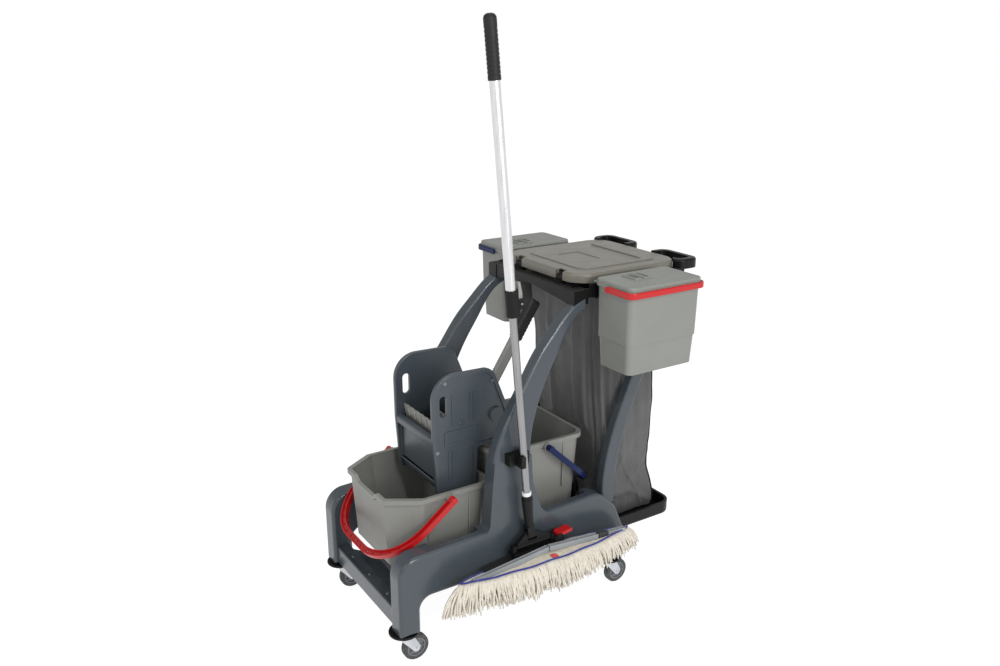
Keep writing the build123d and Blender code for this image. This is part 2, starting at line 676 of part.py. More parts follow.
def bin_bail():
    """Near bin's bail: a band folded round the outer half of the rim, with pivot pins."""
    y, z = BIN_PIVOT
    gap = BIN_BAIL_GAP
    inner = soft_block((BIN_X[0] - gap, BIN_X[1] + gap), (-BIN_Y[1] - gap, -100), (900, 1100), 20)
    outer = soft_block((BIN_X[0] - 8, BIN_X[1] + 8), (-BIN_Y[1] - 8, -100), (z - 9, z + 9), 27)
    outer = fillet(outer.faces().sort_by(Axis.Z)[-1].edges() + outer.faces().sort_by(Axis.Z)[0].edges(), 3)
    band = (outer - inner) & block((0, 600), (-500, -y), (900, 1100))
    for x, inward in ((BIN_X[0] - gap, 1), (BIN_X[1] + gap, -1)):
        outside = x - inward * (8 - gap)
        band += rod(9, (x, -y, z), (outside, -y, z))
        band += rod(3, (x - inward, -y, z), (x + inward * (5 + gap), -y, z))
    return band


# ---------------------------------------------------------------- mop

def handle():
    """Location at the mop's foot with +Z along the handle."""
    return Pos(*MOP_FOOT) * Rot(0, MOP_LEAN, 0)


def ring(radius, low, high, bore=0.0):
    """Round collar about the handle's axis."""
    upward = (Align.CENTER, Align.CENTER, Align.MIN)
    part = Pos(0, 0, low) * Cylinder(radius, high - low, align=upward)
    if bore:
        part -= Pos(0, 0, low - 1) * Cylinder(bore, high - low + 2, align=upward)
    return part


def lower_tube():
    """Inner telescopic tube."""
    return handle() * ring(TUBE_R, 62, 860, TUBE_R - 1.5)


def upper_tube():
    """Outer telescopic tube, sliding on the lower one."""
    return handle() * ring(OUTER_R, COLLAR_S[0] + 30, MOP_LENGTH - 60, TUBE_R + 0.3)


def mop_grip():
    """Ribbed hand grip with a domed end."""
    low = MOP_LENGTH - 154
    grip = ring(16.5, low, MOP_LENGTH)
    grip = fillet(grip.faces().sort_by(Axis.Z)[-1].edges(), 13)
    grip -= ring(OUTER_R, low - 1, MOP_LENGTH - 60)
    grip -= ring(TUBE_R + 0.3, MOP_LENGTH - 62, MOP_LENGTH - 20)
    for step in range(11):
        groove = low + 12 + step * 10.5
        grip -= ring(17.5, groove, groove + 3, 15.3)
    return handle() * grip


def lock_collar():
    """Clamp collar at the outer tube's mouth, with ears for the cam lever."""
    low, high = COLLAR_S
    body = ring(19, low, high)
    body = fillet(body.edges().filter_by(GeomType.CIRCLE), 3)
    body -= ring(TUBE_R + 0.3, low - 1, high + 1)
    body -= ring(OUTER_R, low + 30, high + 1)
    for y in (-12, 6):
        body += block((12, 30), (y, y + 6), (low + 18, low + 46)) - ring(OUTER_R + 1, low, high + 20)
    body -= rod(3 + RUNNING, (24, -13, low + 32), (24, 13, low + 32))
    return handle() * body


def lock_lever():
    """Cam lever of the collar, closed against the handle."""
    low = COLLAR_S[0]
    arm = rounded([(19.6, 32), (30, 32), (31, 58), (27, 92), (21, 92), (19.6, 60)], [0.4, 3, 20, 3, 3, 20])
    lever = slab(arm, -5.5, 5.5) + slab(Pos(24, 32) * Circle(4.4), -5.5, 5.5)
    lever = Pos(0, 0, low) * lever
    lever += rod(3, (24, -12.5, low + 32), (24, 12.5, low + 32))
    return handle() * lever


def mop_socket():
    """Tapered socket that holds the tube, with its fork over the yoke."""
    cone = Pos(0, 0, 16) * Cone(12, 16.5, 98, align=(Align.CENTER, Align.CENTER, Align.MIN))
    cone += ring(15, 112, 122)
    cone -= ring(TUBE_R, 62, 130)
    for y in (-12, 7):
        cone += slab(rounded([(-12, -10), (12, -10), (12, 26), (-12, 26)], [10, 10, 2, 2]), y, y + 5)
    cone -= rod(4 + RUNNING, (0, -14, 0), (0, 14, 0))
    return handle() * cone


def mop_yoke():
    """Triangular yoke: eye and pin at the top, hinge barrel along the foot."""
    x, y, z = MOP_FOOT
    foot, shoulder = WING_CENTRE[1] + 14, WING_CENTRE[1] + 26
    outline = [
        (x - 12, z + 8), (x + 12, z + 8), (x + 70, shoulder),
        (x + 70, foot), (x - 46, foot), (x - 46, shoulder),
    ]
    web = rounded(outline, [9, 9, 4, 2, 2, 4])
    yoke = slab(web, y - 6, y + 6)
    yoke -= slab(Pos(x + 6, z - 18) * RectangleRounded(32, 8, 3), y - 8, y + 8)
    yoke += rod(4, (x, y - 12, z), (x, y + 12, z))
    barrel_z = WING_CENTRE[1] + 13
    yoke += rod(7, (x - 46, y, barrel_z), (x + 70, y, barrel_z))
    return yoke - rod(3.5 + RUNNING, (x - 50, y, barrel_z), (x + 74, y, barrel_z))


def mop_wing(end, side):
    """One wing of the mop frame: plate with an upturned channel on its near edge."""
    x0, z0 = WING_CENTRE
    x1, z1 = end
    run = ((x1 - x0) ** 2 + (z1 - z0) ** 2) ** 0.5
    tilt = degrees(atan2(z0 - z1, abs(x1 - x0)))
    start = 1.0
    depth = WING_Y[0] + 28 if side == 1 else WING_Y[1]
    plate = soft_block((start, run), (WING_Y[0], WING_Y[0] + 20), (0, 4), 9)
    plate += soft_block((start, 205), (WING_Y[0], depth), (0, 4), 8)
    channel = block((start, run - 6), (WING_Y[0] + 1, WING_Y[0] + 15), (2, 15))
    channel -= block((start + 3, run - 9), (WING_Y[0] + 4, WING_Y[0] + 12), (7, 16))
    wing = plate + channel
    if side == 1:
        wing += block((run - 110, run - 74), (WING_Y[0] - 1.5, WING_Y[0] + 17), (3, 18))
        turned = Rot(0, tilt, 0) * wing
    else:
        turned = Rot(0, -tilt, 0) * mirror(wing, about=Plane.YZ)
    return Pos(x0, 0, z0 - 12) * turned


def wing_saddle():
    """Saddle on the wings with the cheeks that hold the yoke's barrel."""
    x, y, _ = MOP_FOOT
    barrel_z = WING_CENTRE[1] + 13
    saddle = block((x - 62, x + 86), (y - 15.5, y + 15.5), (WING_CENTRE[1] - 6, WING_CENTRE[1] + 2))
    for low in (x - 62, x + 72):
        cheek = soft_block((low, low + 14), (y - 9, y + 9), (WING_CENTRE[1], barrel_z + 10), 3)
        saddle += cheek
    saddle += rod(3.5, (x - 55, y, barrel_z), (x + 80, y, barrel_z))
    pin_x, pin_z = PEDAL_PIN
    for low in (y - 18, y + 15):
        outline = [
            (x + 76, pin_z - 21), (x + 112, pin_z - 21), (x + 112, pin_z - 3),
            (pin_x + 7, pin_z + 7), (pin_x - 7, pin_z + 7),
        ]
        lug = rounded(outline, [2, 2, 8, 5, 5])
        saddle += slab(lug, low, low + 3)
    return saddle


def mop_pedal():
    """Foot pedal that releases the wings."""
    x, z = PEDAL_PIN
    y = MOP_FOOT[1]
    plate = rounded([(x - 6, z - 6), (x + 46, z + 2), (x + 48, z + 12), (x - 4, z + 6)], [3, 4, 4, 4])
    return slab(plate, y - 14, y + 14) + rod(2.5, (x, y - 14.8, z), (x, y + 14.8, z))


def mop_cover():
    """Fringed cover as one soft body below the wings."""
    outline = [
        (-476, 196), (-452, 174), (236, 174), (269, 198), (269, 242),
        (205, 255), (-86, 268), (-346, 255), (-476, 242),
    ]
    body = slab(rounded(outline, [12, 12, 12, 12, 12, 30, 60, 30, 12]), -404, -272)
    chop = Plane(origin=(0, -404, 214), x_dir=(1, 0, 0), z_dir=(0, -0.5, 0.86))
    body -= extrude(chop * Rectangle(2000, 400), amount=200)
    return body


def mop_clip():
    """Clip on the upright: a jaw round the tube, open towards the rear and outside."""
    z = MOP_FOOT[2] + CLIP_S * cos(radians(MOP_LEAN))
    x = MOP_FOOT[0] + CLIP_S * sin(radians(MOP_LEAN))
    y = MOP_FOOT[1]
    low, high = z - 17, z + 17
    inner = TUBE_R + 1.2
    side = 4.5
    lean_room = 2.0
    clip = block((x - 40, x + 26), (-FRAME_OUT - 6, -FRAME_OUT), (low, high))
    clip += block((x - 40, x + 26), (y + inner, -FRAME_OUT), (low, high))
    jaw_x = x - inner - lean_room
    clip += block((jaw_x - side, jaw_x), (y - inner - side, y + inner + 2), (low, high))
    clip += block((x - inner - side - lean_room, x - 4), (y - inner - side, y - inner), (low, high))
    return clip


def screw_heads():
    """Bright screws that hold the spine to the front beam."""
    screws = []
    for y in (-120, 0, 120):
        head = Pos(-508, y, 166) * Cone(5.5, 4.5, 2.5, align=(Align.CENTER, Align.CENTER, Align.MIN))
        screws.append(head + rod(3, (-508, y, 152), (-508, y, 167)))
    return screws


# ---------------------------------------------------------------- build

def build_chassis():
    """Everything fixed to the frame."""
    near = side_frame()
    far = mirrored(near)
    save("side_frame_near", near)
    save("side_frame_far", far)
    arm = front_arm()
    frame = top_frame()
    save("top_frame", frame)
    save("front_arm_near", (arm - frame).solids().sort_by(SortBy.VOLUME)[-1])
    save("front_arm_far", mirrored((arm - frame).solids().sort_by(SortBy.VOLUME)[-1]))
    tray = bag_tray((near, far))
    rear = ((rear_arm() - near - tray) - frame).solids().sort_by(SortBy.VOLUME)[-1]
    save("rear_arm_near", rear)
    save("rear_arm_far", mirrored(rear))
    save("bag_tray", tray)
    save("front_beam", front_beam())
    save("base_spine", base_spine())
    save("corner_bumpers", *[corner_bumper(x, y) for x in SWIVEL_X for y in (-SWIVEL_Y, SWIVEL_Y)])
    save("push_handles", push_handle(1), push_handle(-1))
    save("mop_clip", mop_clip())
    save("frame_screws", *screw_heads())
    save("waste_bag", waste_bag())
    save("bag_lid", bag_lid())


def build_casters():
    """Four identical swivel casters."""
    hub = wheel_hub()
    tyre = wheel_tyre()
    for end, x in zip(("front", "rear"), SWIVEL_X):
        for side, y in (("near", -SWIVEL_Y), ("far", SWIVEL_Y)):
            save(f"caster_fork_{end}_{side}", caster_fork(x, y))
            save(f"caster_hub_{end}_{side}", wheel_at(x, y, hub))
            save(f"caster_tyre_{end}_{side}", wheel_at(x, y, tyre))


def build_buckets():
    """Both buckets and their bails."""
    tub = bucket()
    save("bucket_front", tub)
    save("bucket_rear", Pos(*BUCKET_STEP) * tub)
    save("bail_front", front_bail())
    save("bail_rear", rear_bail())


def build_wringer():
    """Down-press wringer."""
    side = wringer_side()
    save("wringer_side_near", side)
    save("wringer_side_far", mirrored(side))
    save("wringer_front_panel", front_panel())
    save("wringer_back_panel", back_panel())
    save("wringer_front_jaw", front_jaw())
    save("wringer_press_jaw", press_jaw())
    save("wringer_shaft", lever_shaft())
    save("wringer_lever", lever_tube())
    save("wringer_grip", lever_grip())
    save("wringer_screws", *[wringer_screw(x, z, side) for x, z in SCREWS for side in (1, -1)])


def build_bins():
    """Lidded bin with a bail, one each side."""
    for name, part in (("bin", side_bin()), ("bin_lid", bin_lid()), ("bin_bail", bin_bail())):
        save(f"{name}_near", part)
        save(f"{name}_far", mirrored(part))


def build_mop():
    """Flat mop."""
    save("mop_lower_tube", lower_tube())
    save("mop_upper_tube", upper_tube())
    save("mop_grip", mop_grip())
    save("mop_lock_collar", lock_collar())
    save("mop_lock_lever", lock_lever())
    save("mop_socket", mop_socket())
    save("mop_yoke", mop_yoke())
    left = mop_wing(WING_ENDS[0], -1)
    right = mop_wing(WING_ENDS[1], 1)
    saddle = wing_saddle()
    save("mop_wing_left", left)
    save("mop_wing_right", right)
    save("mop_saddle", saddle - left - right)
    save("mop_pedal", mop_pedal())
    save("mop_cover", mop_cover() - left - right)


build_chassis()
build_casters()
build_buckets()
build_wringer()
build_bins()
build_mop()
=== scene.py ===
"""Housekeeping cart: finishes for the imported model, its waste bag, mop cover, studio and camera."""
import math
import random

import bmesh
import bpy
from mathutils import Euler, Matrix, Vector, noise


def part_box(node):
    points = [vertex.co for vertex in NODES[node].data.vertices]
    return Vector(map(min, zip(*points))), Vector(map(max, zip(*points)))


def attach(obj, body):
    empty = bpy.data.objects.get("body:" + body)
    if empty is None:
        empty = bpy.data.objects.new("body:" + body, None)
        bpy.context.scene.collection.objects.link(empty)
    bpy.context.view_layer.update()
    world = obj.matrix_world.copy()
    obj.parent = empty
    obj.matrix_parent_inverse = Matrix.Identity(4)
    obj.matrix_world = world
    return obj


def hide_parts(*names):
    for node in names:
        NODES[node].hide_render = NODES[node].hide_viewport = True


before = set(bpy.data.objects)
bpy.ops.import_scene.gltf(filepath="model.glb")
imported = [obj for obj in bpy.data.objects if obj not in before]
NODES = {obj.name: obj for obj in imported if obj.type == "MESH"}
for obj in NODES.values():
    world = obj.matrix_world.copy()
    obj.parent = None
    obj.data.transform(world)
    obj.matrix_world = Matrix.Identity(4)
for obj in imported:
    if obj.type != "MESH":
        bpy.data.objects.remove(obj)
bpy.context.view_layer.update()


def linear(*rgb):
    """Linear colour, with alpha, from 8-bit sRGB values."""
    out = []
    for value in rgb:
        c = value / 255
        out.append(c / 12.92 if c <= 0.04045 else ((c + 0.055) / 1.055) ** 2.4)
    return tuple(out) + (1.0,)


# ---------------------------------------------------------------- node helpers

class Nodes:
    """A material's node tree with short calls for the nodes used here."""

    def __init__(self, name):
        self.material = bpy.data.materials.new(name)
        self.material.use_nodes = True
        self.tree = self.material.node_tree
        self.shader = self.tree.nodes["Principled BSDF"]
        self.place = self.tree.nodes.new("ShaderNodeTexCoord").outputs["Object"]

    def set(self, **values):
        """Sets constant values on the shader; an underscore stands for a space."""
        for name, value in values.items():
            self.shader.inputs[name.replace("_", " ")].default_value = value

    def link(self, source, target):
        self.tree.links.new(source, target)

    def scaled(self, scale, turn=(0, 0, 0)):
        """Object coordinates turned and stretched."""
        node = self.tree.nodes.new("ShaderNodeMapping")
        node.inputs["Scale"].default_value = scale
        node.inputs["Rotation"].default_value = turn
        self.link(self.place, node.inputs["Vector"])
        return node.outputs["Vector"]

    def noise(self, scale, detail=3.0, vector=None, rough=0.5):
        """Cloudy variation."""
        node = self.tree.nodes.new("ShaderNodeTexNoise")
        node.inputs["Scale"].default_value = scale
        node.inputs["Detail"].default_value = detail
        node.inputs["Roughness"].default_value = rough
        self.link(vector or self.place, node.inputs["Vector"])
        return node.outputs["Fac"]

    def bands(self, scale, direction):
        """Slightly uneven stripes."""
        node = self.tree.nodes.new("ShaderNodeTexWave")
        node.bands_direction = direction
        node.inputs["Scale"].default_value = scale
        node.inputs["Distortion"].default_value = 0.4
        node.inputs["Detail"].default_value = 1.0
        self.link(self.place, node.inputs["Vector"])
        return node.outputs["Fac"]

    def cells(self, scale, output="Distance"):
        """Pebbled variation: the distance to a cell's centre, or the cell's colour."""
        node = self.tree.nodes.new("ShaderNodeTexVoronoi")
        node.inputs["Scale"].default_value = scale
        self.link(self.place, node.inputs["Vector"])
        return node.outputs[output]

    def math(self, how, a, b):
        """One operation on two values, each a number or a socket."""
        node = self.tree.nodes.new("ShaderNodeMath")
        node.operation = how
        for socket, value in zip(node.inputs, (a, b)):
            if isinstance(value, (int, float)):
                socket.default_value = value
            else:
                self.link(value, socket)
        return node.outputs[0]

    def remap(self, value, low, high, to_low=0.0, to_high=1.0):
        """Value taken from the range low to high to another range, and held inside it."""
        node = self.tree.nodes.new("ShaderNodeMapRange")
        for name, number in zip(("From Min", "From Max", "To Min", "To Max"), (low, high, to_low, to_high)):
            node.inputs[name].default_value = number
        self.link(value, node.inputs["Value"])
        return node.outputs["Result"]

    def mix(self, factor, first, second):
        """Colour between first and second, each a tuple or a socket."""
        node = self.tree.nodes.new("ShaderNodeMix")
        node.data_type = "RGBA"
        self.link(factor, node.inputs["Factor"])
        for name, colour in (("A", first), ("B", second)):
            socket = [s for s in node.inputs if s.name == name and s.type == "RGBA"][0]
            if isinstance(colour, tuple):
                socket.default_value = colour
            else:
                self.link(colour, socket)
        return [s for s in node.outputs if s.type == "RGBA"][0]

    def axis(self, name):
        """One of the object's coordinates."""
        node = self.tree.nodes.new("ShaderNodeSeparateXYZ")
        self.link(self.place, node.inputs[0])
        return node.outputs[name]

    def bump(self, height, strength, distance, before=None):
        """Surface relief, added to the relief called before."""
        node = self.tree.nodes.new("ShaderNodeBump")
        node.inputs["Strength"].default_value = strength
        node.inputs["Distance"].default_value = distance
        self.link(height, node.inputs["Height"])
        if before:
            self.link(before, node.inputs["Normal"])
        return node.outputs["Normal"]

    def normal(self, source):
        self.link(source, self.shader.inputs["Normal"])

    def colour(self, source):
        self.link(source, self.shader.inputs["Base Color"])

    def roughness(self, source):
        self.link(source, self.shader.inputs["Roughness"])


def tint(colour, factor):
    """Colour made lighter or darker, with alpha."""
    return tuple(min(c * factor, 1.0) for c in colour[:3]) + (1.0,)


# ---------------------------------------------------------------- materials

def moulded(name, colour, rough=0.42, grain=0.12, shine=0.5):
    """Injection-moulded plastic: fine eroded grain and a soft drift in tone."""
    n = Nodes(name)
    drift = n.remap(n.noise(5.0, 6.0, rough=0.6), 0.25, 0.75)
    n.colour(n.mix(drift, tint(colour, 0.93), tint(colour, 1.07)))
    n.roughness(n.remap(n.noise(22.0, 5.0), 0.3, 0.7, rough - 0.03, rough + 0.04))
    fine = n.bump(n.noise(1500.0, 2.0), grain, 0.00015)
    n.normal(n.bump(n.cells(620.0), grain * 0.5, 0.00008, fine))
    n.set(Specular_IOR_Level=shine)
    return n.material


def aluminium(name, dark, bright):
    """Drawn and anodised tube: fine lengthwise lines."""
    n = Nodes(name)
    lines = n.noise(260.0, 3.0, n.scaled((1.0, 1.0, 0.012), (0, math.radians(5.3), 0)))
    n.colour(n.mix(lines, (dark, dark, dark * 1.02, 1), (bright, bright, bright * 1.02, 1)))
    n.roughness(n.remap(lines, 0.3, 0.7, 0.24, 0.36))
    n.normal(n.bump(lines, 0.05, 0.0002))
    n.set(Metallic=1.0)
    return n.material


def zinc(name, level):
    """Zinc-plated steel with a faint spangle and dulled patches."""
    n = Nodes(name)
    spangle = n.cells(170.0, "Color")
    patch = n.remap(n.noise(30.0, 5.0), 0.35, 0.7)
    n.colour(n.mix(patch, tint((0.50, 0.52, 0.55), level), tint((0.66, 0.68, 0.70), level)))
    n.roughness(n.remap(n.noise(60.0, 4.0), 0.3, 0.7, 0.28, 0.46))
    n.normal(n.bump(spangle, 0.05, 0.0002))
    n.set(Metallic=0.95)
    return n.material


def tyre():
    """Matt grey-black tread rubber with dust in its grain."""
    n = Nodes("tyre_rubber")
    dust = n.remap(n.noise(70.0, 6.0), 0.45, 0.75)
    n.colour(n.mix(dust, linear(56, 57, 59), linear(84, 84, 83)))
    n.roughness(n.remap(n.noise(40.0, 3.0), 0.3, 0.7, 0.6, 0.8))
    n.normal(n.bump(n.noise(900.0, 3.0), 0.25, 0.0005))
    return n.material


def bag_cloth():
    """Coated plain weave."""
    n = Nodes("bag_cloth")
    warp = n.bands(210.0, "Z")
    weft = n.math("ADD", n.bands(210.0, "X"), n.bands(210.0, "Y"))
    weave = n.math("MULTIPLY", n.math("ADD", warp, n.math("MULTIPLY", weft, 0.5)), 0.5)
    tone = n.remap(n.noise(9.0, 5.0), 0.3, 0.7)
    cloth = n.mix(tone, linear(72, 72, 74), linear(82, 82, 81))
    n.colour(n.mix(n.math("MULTIPLY", weave, 0.25), cloth, linear(104, 104, 104)))
    n.roughness(n.remap(n.noise(30.0, 4.0), 0.3, 0.7, 0.55, 0.72))
    crumple = n.bump(n.noise(26.0, 4.0, rough=0.6), 0.5, 0.004)
    n.normal(n.bump(weave, 0.3, 0.0005, crumple))
    n.set(Sheen_Weight=0.12, Sheen_Roughness=0.4)
    return n.material


def cotton(name, light, dark, twist):
    """Cotton yarn, canvas or tape, with a diagonal twist."""
    n = Nodes(name)
    n.colour(n.mix(n.remap(n.noise(55.0, 6.0), 0.3, 0.7), dark, light))
    strand = n.bands(twist, "DIAGONAL")
    fuzz = n.bump(n.noise(1100.0, 4.0), 0.5, 0.0008)
    n.normal(n.bump(strand, 0.45, 0.0006, fuzz))
    n.roughness(n.remap(n.noise(200.0), 0.3, 0.7, 0.85, 1.0))
    n.set(Sheen_Weight=0.25, Sheen_Roughness=0.5)
    return n.material


CHANNEL_REAR_Y = -0.3155
RIGHT_CLAMP_X = (0.096, 0.134)


def wing_plastic(name, clamp_x=None):
    """Light-grey channel on a dark plate; a dark clamp lies between the two values of clamp_x."""
    n = Nodes(name)
    tone = n.remap(n.noise(18.0, 4.0), 0.3, 0.7)
    light = n.mix(tone, linear(138, 142, 146), linear(152, 156, 159))
    plate = n.math("GREATER_THAN", n.axis("Y"), CHANNEL_REAR_Y)
    colour = n.mix(plate, light, linear(24, 24, 25))
    if clamp_x:
        low = n.math("GREATER_THAN", n.axis("X"), clamp_x[0])
        high = n.math("LESS_THAN", n.axis("X"), clamp_x[1])
        colour = n.mix(n.math("MULTIPLY", low, high), colour, linear(58, 60, 63))
    n.colour(colour)
    n.roughness(n.remap(n.noise(60.0), 0.3, 0.7, 0.38, 0.52))
    n.normal(n.bump(n.noise(1400.0, 2.0), 0.1, 0.0003))
    return n.material


SLATE = linear(61, 68, 74)
WARM = linear(127, 128, 123)
BLACK = linear(13, 13, 13)
frame_plastic = moulded("frame_plastic", SLATE, 0.23, 0.04)
wringer_plastic = moulded("wringer_plastic", tint(SLATE, 0.98), 0.32, 0.06)
tub_plastic = moulded("tub_plastic", tint(WARM, 0.86), 0.36, 0.10)
bin_plastic = moulded("bin_plastic", linear(119, 121, 116), 0.42, 0.22)
lid_plastic = moulded("lid_plastic", linear(106, 103, 94), 0.34, 0.16)
red_plastic = moulded("red_plastic", linear(172, 10, 15), 0.32, 0.06)
blue_plastic = moulded("blue_plastic", linear(8, 26, 70), 0.34, 0.06, 0.2)
black_plastic = moulded("black_plastic", BLACK, 0.38, 0.16, 0.22)
pale_plastic = moulded("pale_plastic", linear(132, 133, 129), 0.45, 0.12)
lever_plastic = moulded("lever_paint", linear(112, 113, 109), 0.38, 0.05)
hub_plastic = moulded("hub_plastic", linear(104, 106, 110), 0.45, 0.10)
white_plastic = moulded("white_plastic", linear(205, 207, 206), 0.35, 0.06)
grip_rubber = moulded("grip_rubber", linear(24, 24, 24), 0.55, 0.35, 0.3)
lower_tube_metal = aluminium("lower_tube_metal", 0.22, 0.40)
upper_tube_metal = aluminium("upper_tube_metal", 0.56, 0.80)
plated_steel = zinc("zinc_plate", 1.0)
screw_steel = zinc("screw_steel", 0.42)
tyre_rubber = tyre()
bag_fabric = bag_cloth()
cotton_canvas = cotton("cotton_canvas", linear(204, 197, 180), linear(184, 175, 156), 160.0)
cotton_yarn = cotton("cotton_yarn", linear(216, 210, 198), linear(200, 192, 177), 190.0)
navy_tape = cotton("navy_tape", linear(40, 52, 140), linear(28, 38, 112), 240.0)
red_tape = cotton("red_tape", linear(212, 50, 42), linear(190, 36, 32), 240.0)
hem_tape = moulded("hem_tape", linear(34, 34, 36), 0.7, 0.3, 0.02)

CORNERS = ("front_near", "front_far", "rear_near", "rear_far")
FINISH = {
    frame_plastic: ["side_frame_near", "side_frame_far", "front_arm_near", "front_arm_far", "rear_arm_near",
                    "rear_arm_far", "front_beam", "base_spine"],
    wringer_plastic: ["wringer_side_near", "wringer_side_far", "wringer_front_panel", "wringer_back_panel"],
    tub_plastic: ["bucket_front", "bucket_rear"],
    bin_plastic: ["bin_near", "bin_far", "bin_lid_near", "bin_lid_far"],
    lid_plastic: ["bag_lid"],
    red_plastic: ["bail_front", "bin_bail_near", "mop_pedal"],
    blue_plastic: ["bail_rear", "bin_bail_far"],
    black_plastic: ["bag_tray", "top_frame", "push_handles", "mop_clip", "mop_lock_collar", "mop_socket",
                    "mop_yoke", "mop_saddle", "corner_bumpers"],
    pale_plastic: ["wringer_front_jaw", "wringer_press_jaw", "mop_lock_lever"],
    lever_plastic: ["wringer_lever"],
    grip_rubber: ["mop_grip", "wringer_grip"],
    lower_tube_metal: ["mop_lower_tube"],
    upper_tube_metal: ["mop_upper_tube"],
    screw_steel: ["frame_screws", "wringer_screws"],
    plated_steel: ["wringer_shaft"] + [f"caster_fork_{corner}" for corner in CORNERS],
    hub_plastic: [f"caster_hub_{corner}" for corner in CORNERS],
    tyre_rubber: [f"caster_tyre_{corner}" for corner in CORNERS],
    wing_plastic("left_wing_plastic"): ["mop_wing_left"],
    wing_plastic("right_wing_plastic", RIGHT_CLAMP_X): ["mop_wing_right"],
}


def finish_nodes():
    """Gives every carried-over CAD node its material."""
    for material, names in FINISH.items():
        for name in names:
            mesh_object = NODES[name]
            if not mesh_object.material_slots:
                mesh_object.data.materials.append(material)
            for place in mesh_object.material_slots:
                place.material = material


# ---------------------------------------------------------------- mesh helpers

TUBE_UP = Vector((0.12, 0.27, 0.95))  # each ring of a tube is turned by this direction


def piece(name, vertices, faces, material, smooth=True):
    """A mesh object, placed by its vertices."""
    mesh = bpy.data.meshes.new(name)
    mesh.from_pydata(vertices, [], faces)
    mesh.validate()
    mesh.update()
    made = bpy.data.objects.new(name, mesh)
    bpy.context.scene.collection.objects.link(made)
    mesh.materials.append(material)
    for polygon in mesh.polygons:
        polygon.use_smooth = smooth
    return made


def tube_mesh(path, radius, sides, vertices, faces, taper=None):
    """Adds a closed tube along path to the lists; taper scales the radius at each point."""
    base = len(vertices)
    count = len(path)
    for i, point in enumerate(path):
        ahead = (path[min(i + 1, count - 1)] - path[max(i - 1, 0)]).normalized()
        across = ahead.cross(TUBE_UP)
        if across.length < 1e-4:
            across = ahead.cross(Vector((1, 0, 0)))
        across.normalize()
        over = across.cross(ahead)
        size = radius * (taper[i] if taper else 1.0)
        for k in range(sides):
            turn = 2 * math.pi * k / sides
            vertices.append(point + (across * math.cos(turn) + over * math.sin(turn)) * size)
    for i in range(count - 1):
        for k in range(sides):
            a = base + i * sides + k
            b = base + i * sides + (k + 1) % sides
            faces.append((a, b, b + sides, a + sides))
    faces.append(tuple(base + k for k in reversed(range(sides))))
    faces.append(tuple(base + (count - 1) * sides + k for k in range(sides)))


def ring_faces(rows, around):
    """Faces of a closed band whose vertices run round it row by row."""
    faces = []
    for i in range(rows):
        for k in range(around):
            a = i * around + k
            b = i * around + (k + 1) % around
            faces.append((a, b, b + around, a + around))
    return faces


def grid_faces(rows, across):
    """Faces of an open sheet of rows by across cells."""
    faces = []
    for i in range(rows):
        for k in range(across):
            a = i * (across + 1) + k
            faces.append((a, a + 1, a + across + 2, a + across + 1))
    return faces


def thicken(made, name, thickness, offset):
    """Gives a sheet its thickness: inward at offset -1, to both sides at 0, outward at 1."""
    solid = made.modifiers.new(name, "SOLIDIFY")
    solid.thickness = thickness
    solid.offset = offset


def outward(made):
    """Turns a closed mesh's faces outward."""
    work = bmesh.new()
    work.from_mesh(made.data)
    bmesh.ops.recalc_face_normals(work, faces=work.faces)
    work.to_mesh(made.data)
    work.free()


def smoothstep(low, high, value):
    """Rises smoothly from 0 at low to 1 at high."""
    t = min(max((value - low) / (high - low), 0.0), 1.0)
    return t * t * (3 - 2 * t)


def blend_rows(rows, z):
    """Interpolates rows of (z, values...) with a smooth spline at height z."""
    i = 0
    while i < len(rows) - 2 and z > rows[i + 1][0]:
        i += 1
    before, a = rows[max(i - 1, 0)], rows[i]
    b, after = rows[i + 1], rows[min(i + 2, len(rows) - 1)]
    t = min(max((z - a[0]) / (b[0] - a[0]), 0.0), 1.0)
    out = []
    for p, q, r, s in zip(before[1:], a[1:], b[1:], after[1:]):
        out.append(0.5 * (2 * q + (r - p) * t + (2 * p - 5 * q + 4 * r - s) * t * t
                          + (3 * q - p - 3 * r + s) * t ** 3))
    return out


# ---------------------------------------------------------------- waste bag

# height, front x, rear x, half width and corner radius, in metres
BAG_ROWS = [
    (0.2055, 0.238, 0.462, 0.168, 0.030),
    (0.235, 0.231, 0.467, 0.172, 0.032),
    (0.290, 0.228, 0.458, 0.171, 0.030),
    (0.355, 0.227, 0.432, 0.168, 0.028),
    (0.450, 0.222, 0.434, 0.171, 0.030),
    (0.600, 0.211, 0.438, 0.174, 0.032),
    (0.800, 0.197, 0.441, 0.175, 0.034),
    (0.990, 0.186, 0.443, 0.175, 0.034),
]
BAG_AROUND = 300
BAG_UP = 190
BAG_FOOT = 0.2052
BAG_TOP = 0.990
CLOTH_THICK = 0.0012  # thickness of the cloth and of its hem tape
SEAM_SHARE = 0.3395  # where the rear corner seams run


